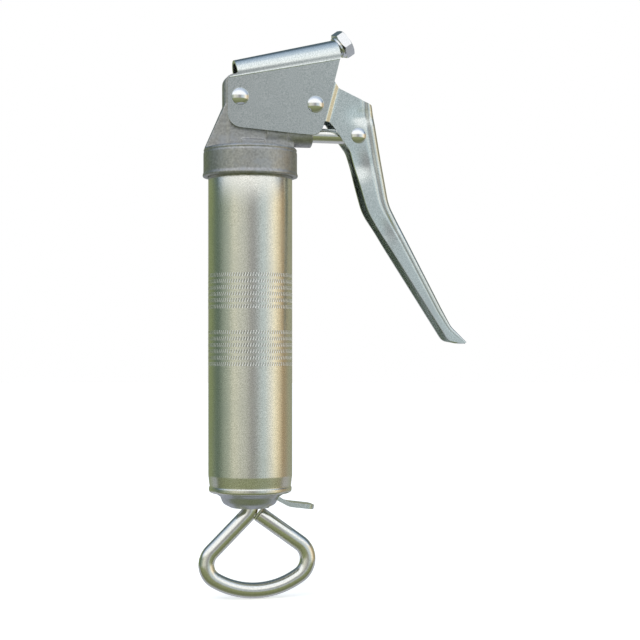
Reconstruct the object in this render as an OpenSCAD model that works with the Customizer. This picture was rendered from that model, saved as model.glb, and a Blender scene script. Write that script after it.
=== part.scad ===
// Lever grease gun. Millimetres, +Z up. The barrel's axis is Z, the lever's plane is XZ,
// the lever points to +X, and z = 0 is the lower rim of the barrel.

/* [Barrel] */
// Outer diameter of the barrel
barrel_d = 57; // [56.8:0.1:57.2]
// Sheet thickness of the barrel
barrel_wall = 1.2; // [1:0.1:1.2]
// Height of the barrel's upper rim
barrel_top = 229.5; // [228:0.5:229.5]
// Diameter of the rolled lip at the barrel's foot
lip_d = 56.2; // [56:0.1:56.4]
// Height of the rolled lip
lip_h = 3.6; // [3.4:0.1:4]

/* [Head] */
// Diameter of the casting's skirt round the barrel
skirt_d = 63.6; // [62:0.1:65]
// Height of the skirt's lower edge
skirt_z = 215; // [213:0.5:217]
// Height of the skirt's upper edge
skirt_top = 234.5; // [234:0.1:235]
// Thickness of the casting's upright column
column_w = 13.2; // [12:0.1:13.2]
// Height of the plunger's axis
pump_z = 245; // [245:0.1:245.2]
// Distance of the gland's face from the barrel's axis
boss_x = 42; // [41.5:0.5:42.5]

/* [Lever and link] */
// Width of the lever's channel
lever_w = 18; // [17:0.1:18]
// Sheet thickness of the lever and of the link
sheet_t = 2; // [1.5:0.1:2]
// Outer radius of the link's fold at the head end
fold_r_head = 9.5; // [9.5:0.1:10]
// Outer radius of the link's fold at the lever end
fold_r_lever = 12.5; // [12.5:0.1:13]
// Diameter of the rivets that hinge the link
rivet_d = 6; // [5:0.1:6]
// Play of the plunger's eye round its rivet
eye_play = 1.15; // [1:0.05:1.3]

/* [Outlet] */
// Size across the flats of the outlet's hexagon
hex_af = 17; // [16:0.5:18]
// Thickness of the hexagon
hex_t = 6.4; // [6:0.1:7]
// Radius of the outlet's tapped bore
outlet_bore_r = 4.3; // [4:0.1:4.5]
// Upward tilt of the outlet from the plunger's direction
outlet_tilt = 35.4; // [35:0.1:36]

/* [Pull rod] */
// Diameter of the pull rod
rod_d = 10.8; // [10.4:0.1:10.9]
// Radius of the loop handle's wide bottom bend
loop_bottom_r = 53.5; // [53.3:0.1:53.7]

/* [Hidden] */
$fn = 48;
fit = 0.05;

barrel_r = barrel_d / 2;
skirt_r = skirt_d / 2;
rod_r = rod_d / 2;
rivet_r = rivet_d / 2;
// Hinge points in the XZ plane
head_pin = [-8.5, 268.6];
fulcrum_pin = [43, 264.7];
plunger_pin = [74, pump_z];
// Centre of the hexagon's inner face
outlet_p = [62.3, 306.7];
neck_len = 2;
hex_turn = -13;
tube_len = 65.5;
tube_r = 5.5;
chamber_r = 4.5;
seat_s = 81;
seat_t = 3;
passage_r = 1.8;
riser_r = 1.4;
passage_end_s = 88.5;
ball_r = 2.4;
// Pump: a stepped plunger in a stepped bore
pump_r = 4;
bore_start_x = -10;
chamber_x = 19.8;
spring_chamber_r = 7;
column_nose_r = 4.6;
gland_x = boss_x - 2.9;
gland_r = 7.5;
plunger_r = 5;
plunger_tip_x = 12;
collar_t = 2.5;
eye_pin_r = 2.5;
// The link's fold: the axis of a half cone
fold_p = [-10.1, 284.8];
fold_tilt = 11.06;
fold_len = 67.7;
fold_taper = asin((fold_r_lever - fold_r_head) / fold_len);
// End cap, latch and follower
plug_top = 12;
plug_r = barrel_r - barrel_wall - fit;
cap_bottom = -9;
latch_p = [-16, 4.55];
latch_tilt = 11.1;
latch_t = 3;
latch_w = 20;
guide_t = 2;
follower_z = 205;
stud_r = 4;
// Loop handle: centres of its bends in the XZ plane
neck_r = 8.8;
left_r = 12.3;
right_r = 13.5;
left_c = [-17.8, -47.4];
right_c = [26.4, -45.1];
bottom_c = [3.6, -12.2];
left_arm = 45;
right_arm = 36;
right_arm_len = 35.2;

// ---- Helpers ----
function unit(v) = v / norm(v);
function turn(a) = [cos(a), sin(a)];
function wrap(a) = a > 180 ? a - 360 : a < -180 ? a + 360 : a;
// Points of the arc that rounds the corner p1 between p0 and p2
function corner(p0, p1, p2, r, n = 5) =
    let (u = unit(p0 - p1), v = unit(p2 - p1), half = acos(u * v) / 2,
        c = p1 + unit(u + v) * r / sin(half),
        a = p1 + u * r / tan(half) - c, b = p1 + v * r / tan(half) - c,
        a0 = atan2(a.y, a.x), sweep = wrap(atan2(b.y, b.x) - a0))
    [for (i = [0:n]) c + r * turn(a0 + sweep * i / n)];
// An outline given as [x, y, corner radius] triples
function rounded(p) = [for (i = [0:len(p) - 1])
    let (a = p[(i + len(p) - 1) % len(p)], b = p[i], c = p[(i + 1) % len(p)])
    each b.z == 0 ? [[b.x, b.y]] : corner([a.x, a.y], [b.x, b.y], [c.x, c.y], b.z)];

// Stands a drawing of the XZ plane up, as thick as w
module upright(w) rotate([90, 0, 0]) linear_extrude(w, center = true) children();
// A round bar along Y at a point of the XZ plane
module across(p, r, w) translate([p.x, 0, p.y]) rotate([90, 0, 0]) cylinder(r = r, h = w, center = true);
// A round bar along X at the plunger's height
module along(x0, x1, r) translate([x0, 0, pump_z]) rotate([0, 90, 0]) cylinder(r = r, h = x1 - x0);
// The outlet's own frame: +Z leaves the hexagon, z = 0 is the hexagon's inner face
module on_outlet() translate([outlet_p.x, 0, outlet_p.y]) rotate([0, 90 - outlet_tilt, 0]) children();
// The fold's own frame: +X runs along the fold's axis to the lever
module on_fold() translate([fold_p.x, 0, fold_p.y]) rotate([0, -fold_tilt, 0]) children();
module both_sides() {
    children();
    mirror([0, 1, 0]) children();
}
// A coil spring of square-cornered section, closed at both ends
module coil(r, wire, h, turns, per_turn = 12, sides = 6) {
    n = turns * per_turn;
    pts = [for (i = [0:n], k = [0:sides - 1])
        let (a = 360 * i / per_turn, b = 360 * k / sides, q = r + wire * cos(b))
        [q * cos(a), q * sin(a), wire + (h - 2 * wire) * i / n + wire * sin(b)]];
    quads = [for (i = [0:n - 1], k = [0:sides - 1])
        let (a = i * sides + k, b = i * sides + (k + 1) % sides) [a, a + sides, b + sides, b]];
    ends = [[for (k = [0:sides - 1]) k], [for (k = [0:sides - 1]) n * sides + sides - 1 - k]];
    polyhedron(pts, concat(quads, ends), convexity = 10);
}
// A domed rivet through both cheeks: w is the distance between the undersides of its heads
module domed_rivet(p, r, w, head_r, head_h) {
    ball = (head_r * head_r + head_h * head_h) / (2 * head_h);
    across(p, r, w + 1);
    both_sides() translate([p.x, -w / 2, p.y]) rotate([90, 0, 0]) intersection() {
        translate([0, 0, head_h - ball]) sphere(ball);
        cylinder(r = head_r + 1, h = head_h + 1);
    }
}

// ---- Head ----
module column_outline() polygon(rounded([[-19, 230, 0], [-19, 285, 8], [-1, 284, 6],
    [24, 262, 4], [29, 250, 3], [29, 230, 0]]));
module column() intersection() {
    upright(40) column_outline();
    linear_extrude(300) hull() {
        for (side = [-1, 1]) translate([column_nose_r - 19, side * (column_w / 2 - column_nose_r)])
            circle(column_nose_r);
        translate([0, -column_w / 2]) square([40, column_w]);
    }
}
module gusset() intersection() {
    upright(column_w) polygon([[-10, 265], [-18.2, 263.5], [-31.2, skirt_top], [-31.2, skirt_top - 2],
        [-10, skirt_top - 2]]);
    linear_extrude(300) polygon([[-8, 0.4 - column_w / 2], [-14.9, 0.4 - column_w / 2], [-32, -2.4],
        [-32, 2.4], [-14.9, column_w / 2 - 0.4], [-8, column_w / 2 - 0.4]]);
}
module skirt() rotate_extrude() polygon([[0, skirt_z], [skirt_r + 0.3, skirt_z],
    [skirt_r + 0.6, skirt_z + 1], [skirt_r + 0.3, skirt_z + 2.2], [skirt_r, skirt_z + 2.6],
    [skirt_r, skirt_top - 1.4], [skirt_r - 0.8, skirt_top], [0, skirt_top]]);
module head_casting() color([0.62, 0.62, 0.6]) difference() {
    union() {
        skirt();
        column();
        gusset();
        along(10, 26, 7.8);
        along(25, boss_x, 8.5);
        on_outlet() translate([0, 0, -85]) cylinder(r = 7.2, h = 26);
    }
    translate([0, 0, skirt_z - 1]) cylinder(r = barrel_r + fit, h = barrel_top + 2 - skirt_z + 1);
    along(bore_start_x, chamber_x + 1, pump_r + fit);
    along(chamber_x, gland_x, spring_chamber_r);
    along(gland_x - 0.5, boss_x + 1, gland_r);
    translate([14, 0, skirt_top - 5]) cylinder(r = 2.5, h = pump_z - skirt_top + 5);
    translate([-8, 0, pump_z]) cylinder(r = riser_r, h = 12.4);
    on_outlet() {
        translate([0, 0, -passage_end_s]) cylinder(r = passage_r, h = 10);
        translate([0, 0, -seat_s - seat_t]) cylinder(r = chamber_r, h = 30);
        translate([0, 0, -tube_len - neck_len]) cylinder(r = tube_r + fit / 2, h = 30);
    }
    across(head_pin, rivet_r + fit, 40);
}
module gland_nut() color([0.7, 0.7, 0.68]) difference() {
    along(gland_x, boss_x + 0.3, gland_r - fit);
    along(gland_x - 1, boss_x + 1, plunger_r + fit);
    along(gland_x + 0.8, gland_x + 2.1, 6.3);
}
module plunger_seal() color([0.15, 0.15, 0.15]) difference() {
    along(gland_x + 0.85, gland_x + 2.05, 6.25);
    along(gland_x, gland_x + 3, plunger_r + fit);
}
module valve_seat() color([0.75, 0.65, 0.4]) on_outlet() translate([0, 0, -seat_s - seat_t]) difference() {
    cylinder(r = chamber_r - fit, h = seat_t);
    translate([0, 0, -1]) cylinder(r = passage_r, h = seat_t + 2);
}
ball_s = seat_s - sqrt(ball_r * ball_r - passage_r * passage_r) - fit;
module check_ball() color([0.8, 0.8, 0.82]) on_outlet() translate([0, 0, -ball_s]) sphere(ball_r);
module check_spring() color([0.6, 0.6, 0.62]) on_outlet() translate([0, 0, -ball_s + ball_r + 0.1])
    coil(1.9, 0.35, ball_s - ball_r - tube_len - neck_len - 0.3, 6, 10, 5);
module outlet_tube() color([0.72, 0.72, 0.7]) on_outlet() translate([0, 0, -tube_len - neck_len]) difference() {
    cylinder(r = tube_r, h = tube_len);
    translate([0, 0, -1]) cylinder(r = passage_r, h = tube_len + 2);
}
module outlet_fitting() color([0.8, 0.8, 0.8]) on_outlet() difference() {
    union() {
        translate([0, 0, -neck_len]) cylinder(r = 7.75, h = neck_len + 0.5);
        intersection() {
            rotate([0, 0, hex_turn]) cylinder(r = hex_af / sqrt(3), h = hex_t, $fn = 6);
            rotate_extrude() polygon([[0, 0], [hex_af / 2 + 0.2, 0], [hex_af / 2 + 1.4, 0.7],
                [hex_af / 2 + 1.4, hex_t - 0.9], [hex_af / 2 - 0.1, hex_t], [0, hex_t]]);
        }
    }
    translate([0, 0, -neck_len - 1]) cylinder(r = outlet_bore_r, h = neck_len + hex_t + 2);
}

// ---- Barrel, cap and latch ----
module barrel() color([0.74, 0.73, 0.66]) rotate_extrude() polygon([
    [barrel_r - barrel_wall, 0], [lip_d / 2, 0], [lip_d / 2, lip_h], [barrel_r - 0.7, lip_h + 1],
    [barrel_r - 0.7, lip_h + 2], [barrel_r - 0.2, lip_h + 4.5], [barrel_r, 11],
    [barrel_r, barrel_top], [barrel_r - barrel_wall, barrel_top]]);
module barrel_gasket() color([0.12, 0.12, 0.12]) translate([0, 0, barrel_top]) difference() {
    cylinder(r = barrel_r - 0.1, h = 2);
    translate([0, 0, -1]) cylinder(r = 24, h = 4);
}
module end_cap() color([0.68, 0.68, 0.7]) difference() {
    rotate_extrude() polygon([[plug_r, plug_top], [plug_r, 0], [27.6, 0], [27, -0.7], [25.2, -1.4],
        [21, -1.6], [20.2, -2.6], [19.2, -4], [17, -5.9], [13.5, -7.8], [9, cap_bottom],
        [7.6, cap_bottom], [7.6, -6.8], [9, -6.8], [12.8, -6], [16, -4.4], [17.8, -2.6],
        [18.8, -0.6], [21.6, 1], [21.6, plug_top]]);
    translate([10, -latch_w / 2 - 0.6, -9]) cube([21, latch_w + 1.2, 10.3]);
}
module cap_bush() color([0.75, 0.66, 0.42]) difference() {
    union() {
        translate([0, 0, cap_bottom]) cylinder(r = 7.55, h = -6 - cap_bottom);
        translate([0, 0, -6.75]) cylinder(r = 8.6, h = 1.2);
    }
    translate([0, 0, cap_bottom - 1]) cylinder(r = rod_r + fit, h = 6);
}
module rod_guide() color([0.65, 0.65, 0.66]) difference() {
    union() {
        translate([0, 0, plug_top]) cylinder(r = plug_r - 0.2, h = guide_t);
        translate([0, 0, plug_top + 1]) cylinder(r = 8.5, h = 7);
    }
    translate([0, 0, plug_top - 1]) cylinder(r = rod_r + fit, h = 12);
}
module rod_latch() color([0.66, 0.7, 0.72]) translate([latch_p.x, 0, latch_p.y])
    rotate([0, latch_tilt, 0]) difference() {
    union() {
        linear_extrude(latch_t, center = true) polygon(rounded([[0, -latch_w / 2, 0],
            [60.2, -latch_w / 2, 4], [60.2, latch_w / 2, 4], [0, latch_w / 2, 0]]));
        rotate([90, 0, 0]) cylinder(r = latch_t / 2, h = latch_w, center = true);
    }
    translate([-latch_p.x / cos(latch_tilt), 0, -3]) cylinder(r = rod_r + 0.55, h = 6);
}
module latch_spring() color([0.6, 0.6, 0.62]) translate([0, 0, 5.2])
    coil(7.1, 0.5, plug_top - 5.3, 4);

// ---- Link ----
// Turns a point of the XZ plane into the fold's frame
function in_fold(p) = let (d = p - fold_p)
    [d.x * cos(fold_tilt) + d.y * sin(fold_tilt), d.y * cos(fold_tilt) - d.x * sin(fold_tilt)];
function fold_triple(x, z, r) = let (q = in_fold([x, z])) [q.x, q.y, r];
cheek = rounded([fold_triple(-17, 280.5, 4), fold_triple(-17, 248.6, 9.5), fold_triple(30.7, 244.6, 12),
    fold_triple(46.8, 243.6, 8.5), [fold_len + 4.2, 0, 0], [0, 0, 0], [-2.5, -1.2, 2]]);
module yoke_link() color([0.6, 0.66, 0.68]) difference() {
    on_fold() {
        difference() {
            rotate([0, 90, 0]) cylinder(r1 = fold_r_head, r2 = fold_r_lever, h = fold_len);
            rotate([0, 90, 0]) translate([0, 0, -1]) cylinder(
                r1 = fold_r_head - sheet_t / cos(fold_taper) - sin(fold_taper),
                r2 = fold_r_lever - sheet_t / cos(fold_taper) + sin(fold_taper), h = fold_len + 2);
            translate([-5, -20, -40]) cube([fold_len + 10, 40, 40]);
        }
        both_sides() translate([0, -fold_r_head, 0]) rotate([0, 0, -fold_taper]) rotate([90, 0, 0])
            translate([0, 0, -sheet_t]) linear_extrude(sheet_t) polygon(cheek);
    }
    across(head_pin, rivet_r, 60);
    across(fulcrum_pin, rivet_r, 60);
    on_outlet() translate([-30, -20, -neck_len - 0.5]) cube([60, 40, 60]);
}
// Distance of a cheek's outer face from the lever's plane at a point of the XZ plane
function cheek_y(p) = fold_r_head + in_fold(p).x * tan(fold_taper);
module head_rivet() color([0.85, 0.85, 0.86]) domed_rivet(head_pin, rivet_r, 2 * cheek_y(head_pin), 5.8, 2.9);
module fulcrum_rivet() color([0.85, 0.85, 0.86])
    domed_rivet(fulcrum_pin, rivet_r, 2 * cheek_y(fulcrum_pin), 5.7, 2.9);
module washers(p, y0, r, t) both_sides() translate([p.x, -y0, p.y]) rotate([90, 0, 0]) difference() {
    cylinder(r = r, h = t);
    translate([0, 0, -1]) cylinder(r = rivet_r + fit, h = t + 2);
}
module head_washers() color([0.7, 0.7, 0.7]) washers(head_pin, column_w / 2 + fit, 5.5, 0.4);
module fulcrum_washers() color([0.7, 0.7, 0.7]) washers(fulcrum_pin, lever_w / 2 + fit, 6, 0.25);

// ---- Lever ----
lever_outline = rounded([[60.3, 276.8, 4], [84.2, 266, 3], [95.9, 198, 35], [140.7, 114, 14],
    [151.6, 103.3, 0.8], [150.4, 102.3, 0.8], [138.8, 104.2, 7], [80.5, 193, 40], [68.3, 234.5, 12],
    [54, 253.6, 3], [47, 254.2, 8], [34, 254.4, 9], [33.4, 274, 9], [54, 284, 5]]);
lever_hollow = [[78.6, 286.8], [93.8, 198], [95.9, 190.5], [138.4, 113.6], [127, 102], [76, 168],
    [40, 228], [20, 258], [30, 292]];
module lever() color([0.62, 0.67, 0.68]) difference() {
    upright(lever_w) polygon(lever_outline);
    upright(lever_w - 2 * sheet_t) polygon(lever_hollow);
    across(fulcrum_pin, rivet_r + fit, 40);
    across(plunger_pin, eye_pin_r, 40);
}
module plunger_rivet() color([0.85, 0.85, 0.86]) domed_rivet(plunger_pin, eye_pin_r, lever_w, 5.35, 2.7);
module plunger() color([0.72, 0.7, 0.66]) difference() {
    union() {
        along(plunger_tip_x, gland_x - 0.5, pump_r);
        along(gland_x - 0.1 - collar_t, gland_x - 0.1, 6.6);
        along(gland_x - 0.5, plunger_pin.x, plunger_r);
        across(plunger_pin, 6.5, 2 * plunger_r);
    }
    across(plunger_pin, eye_pin_r + eye_play, 40);
}
module return_spring() color([0.6, 0.6, 0.62]) translate([chamber_x + 0.1, 0, pump_z]) rotate([0, 90, 0])
    coil(5.9, 0.55, gland_x - collar_t - chamber_x - 0.3, 4);

// ---- Pull rod and follower ----
function at_bend(c, r, a) = c + r * turn(a);
left_touch = atan2(left_c.y - bottom_c.y, left_c.x - bottom_c.x) + 360;
right_touch = atan2(right_c.y - bottom_c.y, right_c.x - bottom_c.x);
left_top = at_bend(left_c, left_r, 90 + left_arm);
right_top = at_bend(right_c, right_r, 90 - right_arm);
// The left arm's line meets the rod's axis here, and the neck's bend rounds that corner
neck_z = left_top.y - left_top.x;
neck_top = neck_z + neck_r * tan(left_arm / 2);
neck_c = [-neck_r, neck_top];
// The loop's centreline in the XZ plane: neck, left arm, three bends and the right arm's cut end
function bend(c, r, a0, a1, n) = [for (i = [0:n]) at_bend(c, r, a0 + (a1 - a0) * i / n)];
loop_path = concat([[0, neck_top + 2]], bend(neck_c, neck_r, 0, -left_arm, 4),
    bend(left_c, left_r, 90 + left_arm, left_touch, 9),
    bend(bottom_c, loop_bottom_r, left_touch + 8, right_touch + 352, 7),
    bend(right_c, right_r, right_touch, 90 - right_arm, 9),
    [right_top + right_arm_len * turn(180 - right_arm)]);
loop_r = rod_r - 0.05;
loop_sides = 20;
module loop_handle() {
    n = len(loop_path) - 1;
    pts = [for (i = [0:n], k = [0:loop_sides - 1])
        let (along_it = unit(loop_path[min(i + 1, n)] - loop_path[max(i - 1, 0)]),
            p = loop_path[i], q = 360 * k / loop_sides)
        [p.x - along_it.y * loop_r * cos(q), loop_r * sin(q), p.y + along_it.x * loop_r * cos(q)]];
    quads = [for (i = [0:n - 1], k = [0:loop_sides - 1])
        let (a = i * loop_sides + k, b = i * loop_sides + (k + 1) % loop_sides)
        [a, b, b + loop_sides, a + loop_sides]];
    ends = [[for (k = [0:loop_sides - 1]) loop_sides - 1 - k],
        [for (k = [0:loop_sides - 1]) n * loop_sides + k]];
    polyhedron(pts, concat(quads, ends), convexity = 10);
}
module pull_rod() color([0.78, 0.77, 0.72]) {
    translate([0, 0, neck_top]) cylinder(r = rod_r, h = follower_z - neck_top);
    translate([0, 0, follower_z - 1]) cylinder(r = stud_r, h = 15);
    loop_handle();
}
module on_stud(z, r, h) translate([0, 0, z]) difference() {
    cylinder(r = r, h = h);
    translate([0, 0, -1]) cylinder(r = stud_r + fit, h = h + 2);
}
module follower_plate() color([0.65, 0.65, 0.66]) on_stud(follower_z, 25.4, 2);
module follower_cup() color([0.13, 0.13, 0.13]) rotate_extrude() polygon([[stud_r + fit, follower_z + 2],
    [25.6, follower_z + 2], [26.4, follower_z + 4], [26.4, follower_z + 12], [25, follower_z + 12],
    [23.4, follower_z + 5], [stud_r + fit, follower_z + 5]]);
module follower_washer() color([0.7, 0.7, 0.7]) on_stud(follower_z + 5, 12, 1.5);
module follower_nut() color([0.7, 0.7, 0.7]) translate([0, 0, follower_z + 6.5]) difference() {
    cylinder(r = 13 / sqrt(3), h = 6, $fn = 6);
    translate([0, 0, -1]) cylinder(r = stud_r + fit, h = 8);
}
module follower_spring() color([0.6, 0.6, 0.62]) translate([0, 0, plug_top + guide_t + 0.2])
    coil(22.6, 1.1, follower_z - plug_top - guide_t - 0.4, 16);

head_casting();
barrel();
barrel_gasket();
end_cap();
cap_bush();
rod_guide();
gland_nut();
plunger_seal();
valve_seat();
check_ball();
check_spring();
outlet_tube();
outlet_fitting();
yoke_link();
head_rivet();
head_washers();
fulcrum_rivet();
fulcrum_washers();
lever();
plunger_rivet();
plunger();
return_spring();
pull_rod();
follower_plate();
follower_cup();
follower_washer();
follower_nut();
follower_spring();
rod_latch();
latch_spring();
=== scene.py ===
"""Looks of a lever grease gun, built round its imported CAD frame.

Lengths are in millimetres until a mesh is made, and places follow the CAD model's frame:
the barrel's axis is Z, the lever's plane is XZ and the lever points to +X.
"""

import math

import bmesh
import bpy
import numpy as np
from mathutils import Matrix, Vector

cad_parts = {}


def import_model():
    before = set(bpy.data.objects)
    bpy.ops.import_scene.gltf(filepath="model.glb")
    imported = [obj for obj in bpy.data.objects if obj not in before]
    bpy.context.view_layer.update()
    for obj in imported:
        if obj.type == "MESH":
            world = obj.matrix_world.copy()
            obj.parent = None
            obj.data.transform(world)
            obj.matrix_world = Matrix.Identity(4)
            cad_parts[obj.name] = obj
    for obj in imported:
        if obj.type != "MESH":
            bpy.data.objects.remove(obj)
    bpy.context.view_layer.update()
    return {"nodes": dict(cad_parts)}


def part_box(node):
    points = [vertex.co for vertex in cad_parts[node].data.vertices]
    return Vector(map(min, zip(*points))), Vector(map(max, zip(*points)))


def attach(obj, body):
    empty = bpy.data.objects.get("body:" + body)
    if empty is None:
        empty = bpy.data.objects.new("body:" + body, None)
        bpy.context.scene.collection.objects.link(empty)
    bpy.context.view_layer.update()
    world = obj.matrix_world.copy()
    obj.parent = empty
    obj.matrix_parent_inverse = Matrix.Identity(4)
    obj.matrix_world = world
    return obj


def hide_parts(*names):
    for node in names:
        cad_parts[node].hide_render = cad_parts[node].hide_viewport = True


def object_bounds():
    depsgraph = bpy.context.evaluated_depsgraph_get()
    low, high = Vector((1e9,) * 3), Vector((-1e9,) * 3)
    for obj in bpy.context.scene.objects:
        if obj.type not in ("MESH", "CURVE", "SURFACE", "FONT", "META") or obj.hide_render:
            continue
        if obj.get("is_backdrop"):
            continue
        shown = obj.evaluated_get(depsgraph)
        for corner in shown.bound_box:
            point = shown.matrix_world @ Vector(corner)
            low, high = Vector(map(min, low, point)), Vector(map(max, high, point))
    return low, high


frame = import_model()
MM = 0.001

# ---- Sizes, in millimetres ----
BARREL_R = 28.5
BARREL_WALL = 1.2
LIP_R = 28.1
PLUG_TOP = 12.0
PUMP_Z = 245.0
BOSS_X = 42.0
SHEET = 2.0
LEVER_SHEET = 1.7
ROD_R = 5.4
STUD_R = 4.0
FOLLOWER_Z = 205.0
HEAD_PIN = (-8.5, 268.6)
FULCRUM_PIN = (43.0, 264.7)
PLUNGER_PIN = (74.0, PUMP_Z)
OUTLET = (62.3, 306.7)
OUTLET_TILT = 35.4
FOLD_START = (-10.1, 284.8)
FOLD_TILT = 11.06
FOLD_LEN = 67.7
FOLD_OVERHANG = 4.2
FOLD_R_HEAD = 9.5
FOLD_R_LEVER = 12.5
LATCH_PIVOT = (-16.0, 4.55)
LATCH_TILT = 11.1
LATCH_T = 3.0
KNURL_COUNT = 100
KNURL_PITCH = 4.25
KNURL_RINGS = 6
# Half a ring's height, how far a dash leans over it in radians of phase, and each band's highest ring
KNURL_HALF = 1.45
KNURL_SLANT = 1.2
KNURL_TOPS = (148.1, 109.8)


# ---- Mesh helpers ----
def link(name, data):
    obj = bpy.data.objects.new(name, data)
    bpy.context.scene.collection.objects.link(obj)
    return obj


def from_bmesh(name, bm):
    """A mesh object made of a bmesh, which is then freed."""
    mesh = bpy.data.meshes.new(name)
    bm.to_mesh(mesh)
    bm.free()
    return link(name, mesh)


def add_mesh(name, points, faces, merge=1e-4):
    """A mesh object from points in millimetres, smooth, with doubled points merged and normals outward."""
    mesh = bpy.data.meshes.new(name)
    mesh.from_pydata((np.asarray(points, float) * MM).tolist(), [], faces)
    bm = bmesh.new()
    bm.from_mesh(mesh)
    bmesh.ops.remove_doubles(bm, verts=bm.verts, dist=merge * MM)
    bmesh.ops.recalc_face_normals(bm, faces=bm.faces)
    bm.to_mesh(mesh)
    bm.free()
    mesh.polygons.foreach_set("use_smooth", [True] * len(mesh.polygons))
    return link(name, mesh)


def grid_faces(rows, cols, wrap_rows=False, wrap_cols=False):
    """Quads of a grid whose points are numbered row by row."""
    faces = []
    for i in range(rows if wrap_rows else rows - 1):
        a, b = i * cols, (i + 1) % rows * cols
        for j in range(cols if wrap_cols else cols - 1):
            k = (j + 1) % cols
            faces.append((a + j, a + k, b + k, b + j))
    return faces


def unit(v):
    """A vector with its length made 1."""
    return np.asarray(v, float) / np.linalg.norm(v)


def smoothstep(x):
    """A soft step from 0 to 1 as x goes from 0 to 1."""
    x = np.clip(x, 0, 1)
    return x * x * (3 - 2 * x)


def arc(centre, r, start, end, steps):
    """Points on a circle from one angle to another, in degrees."""
    return [
        (centre[0] + r * math.cos(math.radians(a)), centre[1] + r * math.sin(math.radians(a)))
        for a in np.linspace(start, end, steps + 1)
    ]


def rounded(outline, steps=8, closed=True):
    """An outline of (x, y, corner radius) triples with its corners as arcs."""
    points = []
    for i, (x, y, r) in enumerate(outline):
        here = np.array((x, y), float)
        if r == 0 or (not closed and i in (0, len(outline) - 1)):
            points.append(here)
            continue
        before = unit(np.array(outline[i - 1][:2]) - here)
        after = unit(np.array(outline[(i + 1) % len(outline)][:2]) - here)
        half = math.acos(np.clip(before @ after, -1, 1)) / 2
        centre = here + unit(before + after) * r / math.sin(half)
        first = here + before * r / math.tan(half) - centre
        last = here + after * r / math.tan(half) - centre
        start = math.atan2(first[1], first[0])
        sweep = math.atan2(last[1], last[0]) - start
        sweep = (sweep + math.pi) % (2 * math.pi) - math.pi
        for k in range(steps + 1):
            a = start + sweep * k / steps
            points.append(centre + r * np.array((math.cos(a), math.sin(a))))
    return np.array(points)


def lathe(name, profile, sides=128, closed=False):
    """Turns a profile of (radius, height) points about Z."""
    profile = np.asarray(profile, float)
    angles = np.arange(sides) * 2 * math.pi / sides
    points = np.stack(
        [
            profile[:, None, 0] * np.cos(angles),
            profile[:, None, 0] * np.sin(angles),
            np.repeat(profile[:, 1:2], sides, 1),
        ],
        2,
    ).reshape(-1, 3)
    return add_mesh(name, points, grid_faces(len(profile), sides, closed, True))


def place(obj, origin, direction):
    """Moves a mesh made about Z so that its Z runs along direction from origin, both in millimetres."""
    turn = Vector(direction).to_track_quat("Z", "Y").to_matrix().to_4x4()
    obj.data.transform(Matrix.Translation(Vector(origin) * MM) @ turn)
    return obj


def sweep(name, path, radii, sides=40):
    """A round bar along a path, its two ends closed. radii is one radius or one for each point."""
    path = np.asarray(path, float)
    radii = np.broadcast_to(np.asarray(radii, float), len(path))
    ahead = np.gradient(path, axis=0)
    ahead /= np.linalg.norm(ahead, axis=1)[:, None]
    side = np.zeros_like(path)
    side[0] = unit(np.cross(ahead[0], (0.0, 1.0, 0.0) if abs(ahead[0][1]) < 0.9 else (1.0, 0, 0)))
    for i in range(1, len(path)):
        side[i] = unit(side[i - 1] - (side[i - 1] @ ahead[i]) * ahead[i])
    up = np.cross(ahead, side)
    angles = np.arange(sides) * 2 * math.pi / sides
    rings = (
        path[:, None, :]
        + radii[:, None, None] * np.cos(angles)[None, :, None] * side[:, None, :]
        + radii[:, None, None] * np.sin(angles)[None, :, None] * up[:, None, :]
    ).reshape(-1, 3)
    faces = grid_faces(len(path), sides, False, True)
    last = (len(path) - 1) * sides
    faces += [tuple(range(sides)), tuple(last + k for k in reversed(range(sides)))]
    return add_mesh(name, rings, faces)


def smooth_by_angle(obj, degrees=35):
    """Marks the edges sharper than an angle, so that flat faces stay flat beside round ones."""
    bm = bmesh.new()
    bm.from_mesh(obj.data)
    for edge in bm.edges:
        if len(edge.link_faces) == 2:
            edge.smooth = edge.calc_face_angle() < math.radians(degrees)
    bm.to_mesh(obj.data)
    bm.free()
    return obj


def face_away(bm, centre, faces):
    """Turns the whole sheet over if the faces given look towards centre, so that it thickens inward."""
    if sum((f.calc_center_median() - centre).dot(f.normal) * f.calc_area() for f in faces) < 0:
        bmesh.ops.reverse_faces(bm, faces=bm.faces)


def modifier(obj, kind, **settings):
    """Adds a modifier with its settings made."""
    made = obj.modifiers.new(kind.title(), kind)
    for key, value in settings.items():
        setattr(made, key, value)
    return made


def apply_modifiers(obj):
    """Turns the modified mesh into the object's own mesh."""
    bpy.context.view_layer.update()
    evaluated = obj.evaluated_get(bpy.context.evaluated_depsgraph_get())
    mesh = bpy.data.meshes.new_from_object(evaluated)
    obj.modifiers.clear()
    obj.data = mesh
    return obj


def round_edges(obj, width, segments=3, degrees=40):
    """Bevels the edges sharper than an angle, width in millimetres, and shades the flats as flat."""
    modifier(
        obj,
        "BEVEL",
        width=width * MM,
        segments=segments,
        limit_method="ANGLE",
        angle_limit=math.radians(degrees),
        harden_normals=True,
    )
    modifier(obj, "WEIGHTED_NORMAL", keep_sharp=True, weight=80)
    return obj


# ---- Materials ----
def new_material(name):
    """A material with its node tree and its Principled shader."""
    material = bpy.data.materials.new(name)
    material.use_nodes = True
    tree = material.node_tree
    return material, tree, tree.nodes["Principled BSDF"]


def node(tree, kind, inputs=(), **settings):
    """A shader node with its settings made and its inputs linked to sockets or set to values."""
    made = tree.nodes.new(kind)
    for key, value in settings.items():
        setattr(made, key, value)
    for key, value in dict(inputs).items():
        if isinstance(value, bpy.types.NodeSocket):
            tree.links.new(value, made.inputs[key])
        else:
            made.inputs[key].default_value = value
    return made


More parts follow.
